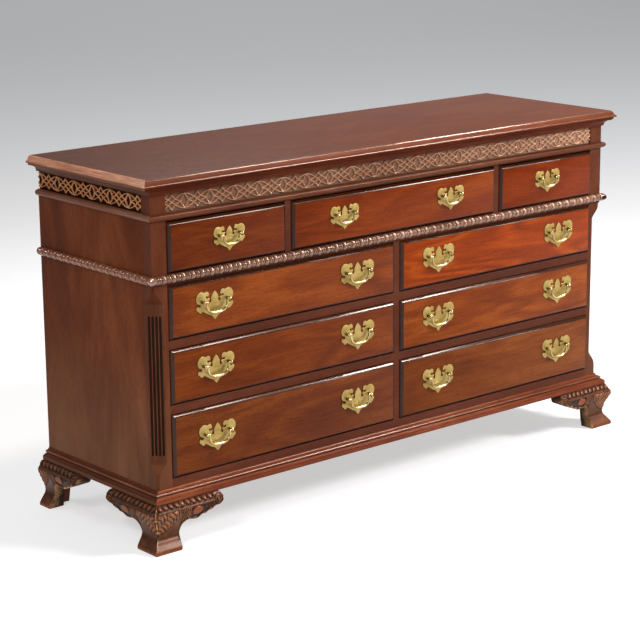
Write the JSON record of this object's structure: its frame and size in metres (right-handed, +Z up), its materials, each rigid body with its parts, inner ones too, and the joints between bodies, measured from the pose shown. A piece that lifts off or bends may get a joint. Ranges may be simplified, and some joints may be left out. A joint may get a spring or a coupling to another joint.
{
  "type": "dresser",
  "caption": "Low, wide traditional dresser on carved ogee bracket feet, with sliding drawers under a moulded top and swinging bail pulls on batwing plates.",
  "frame": {"origin": "on the floor, under the middle of the whole piece", "axes": "+Z up, the drawers face -Y, +X to the right seen from the front"},
  "size_m": [1.648, 0.516, 0.921],
  "materials": {
    "top": "satin lacquer on brown mahogany",
    "case": "satin lacquer on brown mahogany",
    "side": "satin lacquer on dark brown mahogany",
    "drawer_front": "satin lacquer on red-brown figured mahogany",
    "foot": "satin lacquer on carved mahogany",
    "fretwork": "satin lacquer on light brown fret",
    "backing": "bare board",
    "brass": "satin plates and polished bails"
  },
  "bodies": {
    "case": {"top_board": "top", "left_side": "side", "right_side": "side", "back_panel": "backing", "left_corner_post": "case", "right_corner_post": "case", "lower_frame": "case", "upper_frame": "case", "frieze_rail": "case", "front_fret": "fretwork", "left_fret": "fretwork", "right_fret": "fretwork", "frieze_moulding": "case", "waist_moulding": "case", "base_moulding": "case", "front_left_foot": "foot", "front_right_foot": "foot", "rear_left_foot": "foot", "rear_right_foot": "foot"},
    "drawer_bottom_left": {"drawer_bottom_left": "drawer_front", "plate_bottom_left_a": "brass", "plate_bottom_left_b": "brass"},
    "drawer_bottom_right": {"drawer_bottom_right": "drawer_front", "plate_bottom_right_a": "brass", "plate_bottom_right_b": "brass"},
    "drawer_middle_left": {"drawer_middle_left": "drawer_front", "plate_middle_left_a": "brass", "plate_middle_left_b": "brass"},
    "drawer_middle_right": {"drawer_middle_right": "drawer_front", "plate_middle_right_a": "brass", "plate_middle_right_b": "brass"},
    "drawer_top_left": {"drawer_top_left": "drawer_front", "plate_top_left_a": "brass", "plate_top_left_b": "brass"},
    "drawer_top_right": {"drawer_top_right": "drawer_front", "plate_top_right_a": "brass", "plate_top_right_b": "brass"},
    "drawer_upper_left": {"drawer_upper_left": "drawer_front", "plate_upper_left": "brass"},
    "drawer_upper_centre": {"drawer_upper_centre": "drawer_front", "plate_upper_centre_a": "brass", "plate_upper_centre_b": "brass"},
    "drawer_upper_right": {"drawer_upper_right": "drawer_front", "plate_upper_right": "brass"},
    "bail_bottom_left_a": {"bail_bottom_left_a": "brass"},
    "bail_bottom_left_b": {"bail_bottom_left_b": "brass"},
    "bail_bottom_right_a": {"bail_bottom_right_a": "brass"},
    "bail_bottom_right_b": {"bail_bottom_right_b": "brass"},
    "bail_middle_left_a": {"bail_middle_left_a": "brass"},
    "bail_middle_left_b": {"bail_middle_left_b": "brass"},
    "bail_middle_right_a": {"bail_middle_right_a": "brass"},
    "bail_middle_right_b": {"bail_middle_right_b": "brass"},
    "bail_top_left_a": {"bail_top_left_a": "brass"},
    "bail_top_left_b": {"bail_top_left_b": "brass"},
    "bail_top_right_a": {"bail_top_right_a": "brass"},
    "bail_top_right_b": {"bail_top_right_b": "brass"},
    "bail_upper_left": {"bail_upper_left": "brass"},
    "bail_upper_centre_a": {"bail_upper_centre_a": "brass"},
    "bail_upper_centre_b": {"bail_upper_centre_b": "brass"},
    "bail_upper_right": {"bail_upper_right": "brass"}
  },
  "joints": [
    {"name": "slide_bottom_left", "type": "slide", "parent": "case", "child": "drawer_bottom_left", "axis": [0, -1, 0], "range_m": [0, 0.32]},
    {"name": "slide_bottom_right", "type": "slide", "parent": "case", "child": "drawer_bottom_right", "axis": [0, -1, 0], "range_m": [0, 0.32]},
    {"name": "slide_middle_left", "type": "slide", "parent": "case", "child": "drawer_middle_left", "axis": [0, -1, 0], "range_m": [0, 0.32]},
    {"name": "slide_middle_right", "type": "slide", "parent": "case", "child": "drawer_middle_right", "axis": [0, -1, 0], "range_m": [0, 0.32]},
    {"name": "slide_top_left", "type": "slide", "parent": "case", "child": "drawer_top_left", "axis": [0, -1, 0], "range_m": [0, 0.32]},
    {"name": "slide_top_right", "type": "slide", "parent": "case", "child": "drawer_top_right", "axis": [0, -1, 0], "range_m": [0, 0.32]},
    {"name": "slide_upper_left", "type": "slide", "parent": "case", "child": "drawer_upper_left", "axis": [0, -1, 0], "range_m": [0, 0.32]},
    {"name": "slide_upper_centre", "type": "slide", "parent": "case", "child": "drawer_upper_centre", "axis": [0, -1, 0], "range_m": [0, 0.32]},
    {"name": "slide_upper_right", "type": "slide", "parent": "case", "child": "drawer_upper_right", "axis": [0, -1, 0], "range_m": [0, 0.32]},
    {"name": "swing_bottom_left_a", "type": "hinge", "parent": "drawer_bottom_left", "child": "bail_bottom_left_a", "pos_m": [-0.6069, -0.2383, 0.26918], "axis": [-1, 0, 0], "range_deg": [-10, 100]},
    {"name": "swing_bottom_left_b", "type": "hinge", "parent": "drawer_bottom_left", "child": "bail_bottom_left_b", "pos_m": [-0.1441, -0.2383, 0.26918], "axis": [-1, 0, 0], "range_deg": [-10, 100]},
    {"name": "swing_bottom_right_a", "type": "hinge", "parent": "drawer_bottom_right", "child": "bail_bottom_right_a", "pos_m": [0.1441, -0.2383, 0.26918], "axis": [-1, 0, 0], "range_deg": [-10, 100]},
    {"name": "swing_bottom_right_b", "type": "hinge", "parent": "drawer_bottom_right", "child": "bail_bottom_right_b", "pos_m": [0.6069, -0.2383, 0.26918], "axis": [-1, 0, 0], "range_deg": [-10, 100]},
    {"name": "swing_middle_left_a", "type": "hinge", "parent": "drawer_middle_left", "child": "bail_middle_left_a", "pos_m": [-0.6069, -0.2383, 0.44268], "axis": [-1, 0, 0], "range_deg": [-10, 100]},
    {"name": "swing_middle_left_b", "type": "hinge", "parent": "drawer_middle_left", "child": "bail_middle_left_b", "pos_m": [-0.1441, -0.2383, 0.44268], "axis": [-1, 0, 0], "range_deg": [-10, 100]},
    {"name": "swing_middle_right_a", "type": "hinge", "parent": "drawer_middle_right", "child": "bail_middle_right_a", "pos_m": [0.1441, -0.2383, 0.44268], "axis": [-1, 0, 0], "range_deg": [-10, 100]},
    {"name": "swing_middle_right_b", "type": "hinge", "parent": "drawer_middle_right", "child": "bail_middle_right_b", "pos_m": [0.6069, -0.2383, 0.44268], "axis": [-1, 0, 0], "range_deg": [-10, 100]},
    {"name": "swing_top_left_a", "type": "hinge", "parent": "drawer_top_left", "child": "bail_top_left_a", "pos_m": [-0.6069, -0.2383, 0.60318], "axis": [-1, 0, 0], "range_deg": [-10, 100]},
    {"name": "swing_top_left_b", "type": "hinge", "parent": "drawer_top_left", "child": "bail_top_left_b", "pos_m": [-0.1441, -0.2383, 0.60318], "axis": [-1, 0, 0], "range_deg": [-10, 100]},
    {"name": "swing_top_right_a", "type": "hinge", "parent": "drawer_top_right", "child": "bail_top_right_a", "pos_m": [0.1441, -0.2383, 0.60318], "axis": [-1, 0, 0], "range_deg": [-10, 100]},
    {"name": "swing_top_right_b", "type": "hinge", "parent": "drawer_top_right", "child": "bail_top_right_b", "pos_m": [0.6069, -0.2383, 0.60318], "axis": [-1, 0, 0], "range_deg": [-10, 100]},
    {"name": "swing_upper_left", "type": "hinge", "parent": "drawer_upper_left", "child": "bail_upper_left", "pos_m": [-0.5581, -0.2383, 0.75989], "axis": [-1, 0, 0], "range_deg": [-10, 100]},
    {"name": "swing_upper_centre_a", "type": "hinge", "parent": "drawer_upper_centre", "child": "bail_upper_centre_a", "pos_m": [-0.1867, -0.2383, 0.75989], "axis": [-1, 0, 0], "range_deg": [-10, 100]},
    {"name": "swing_upper_centre_b", "type": "hinge", "parent": "drawer_upper_centre", "child": "bail_upper_centre_b", "pos_m": [0.1867, -0.2383, 0.75989], "axis": [-1, 0, 0], "range_deg": [-10, 100]},
    {"name": "swing_upper_right", "type": "hinge", "parent": "drawer_upper_right", "child": "bail_upper_right", "pos_m": [0.5581, -0.2383, 0.75989], "axis": [-1, 0, 0], "range_deg": [-10, 100]}
  ]
}
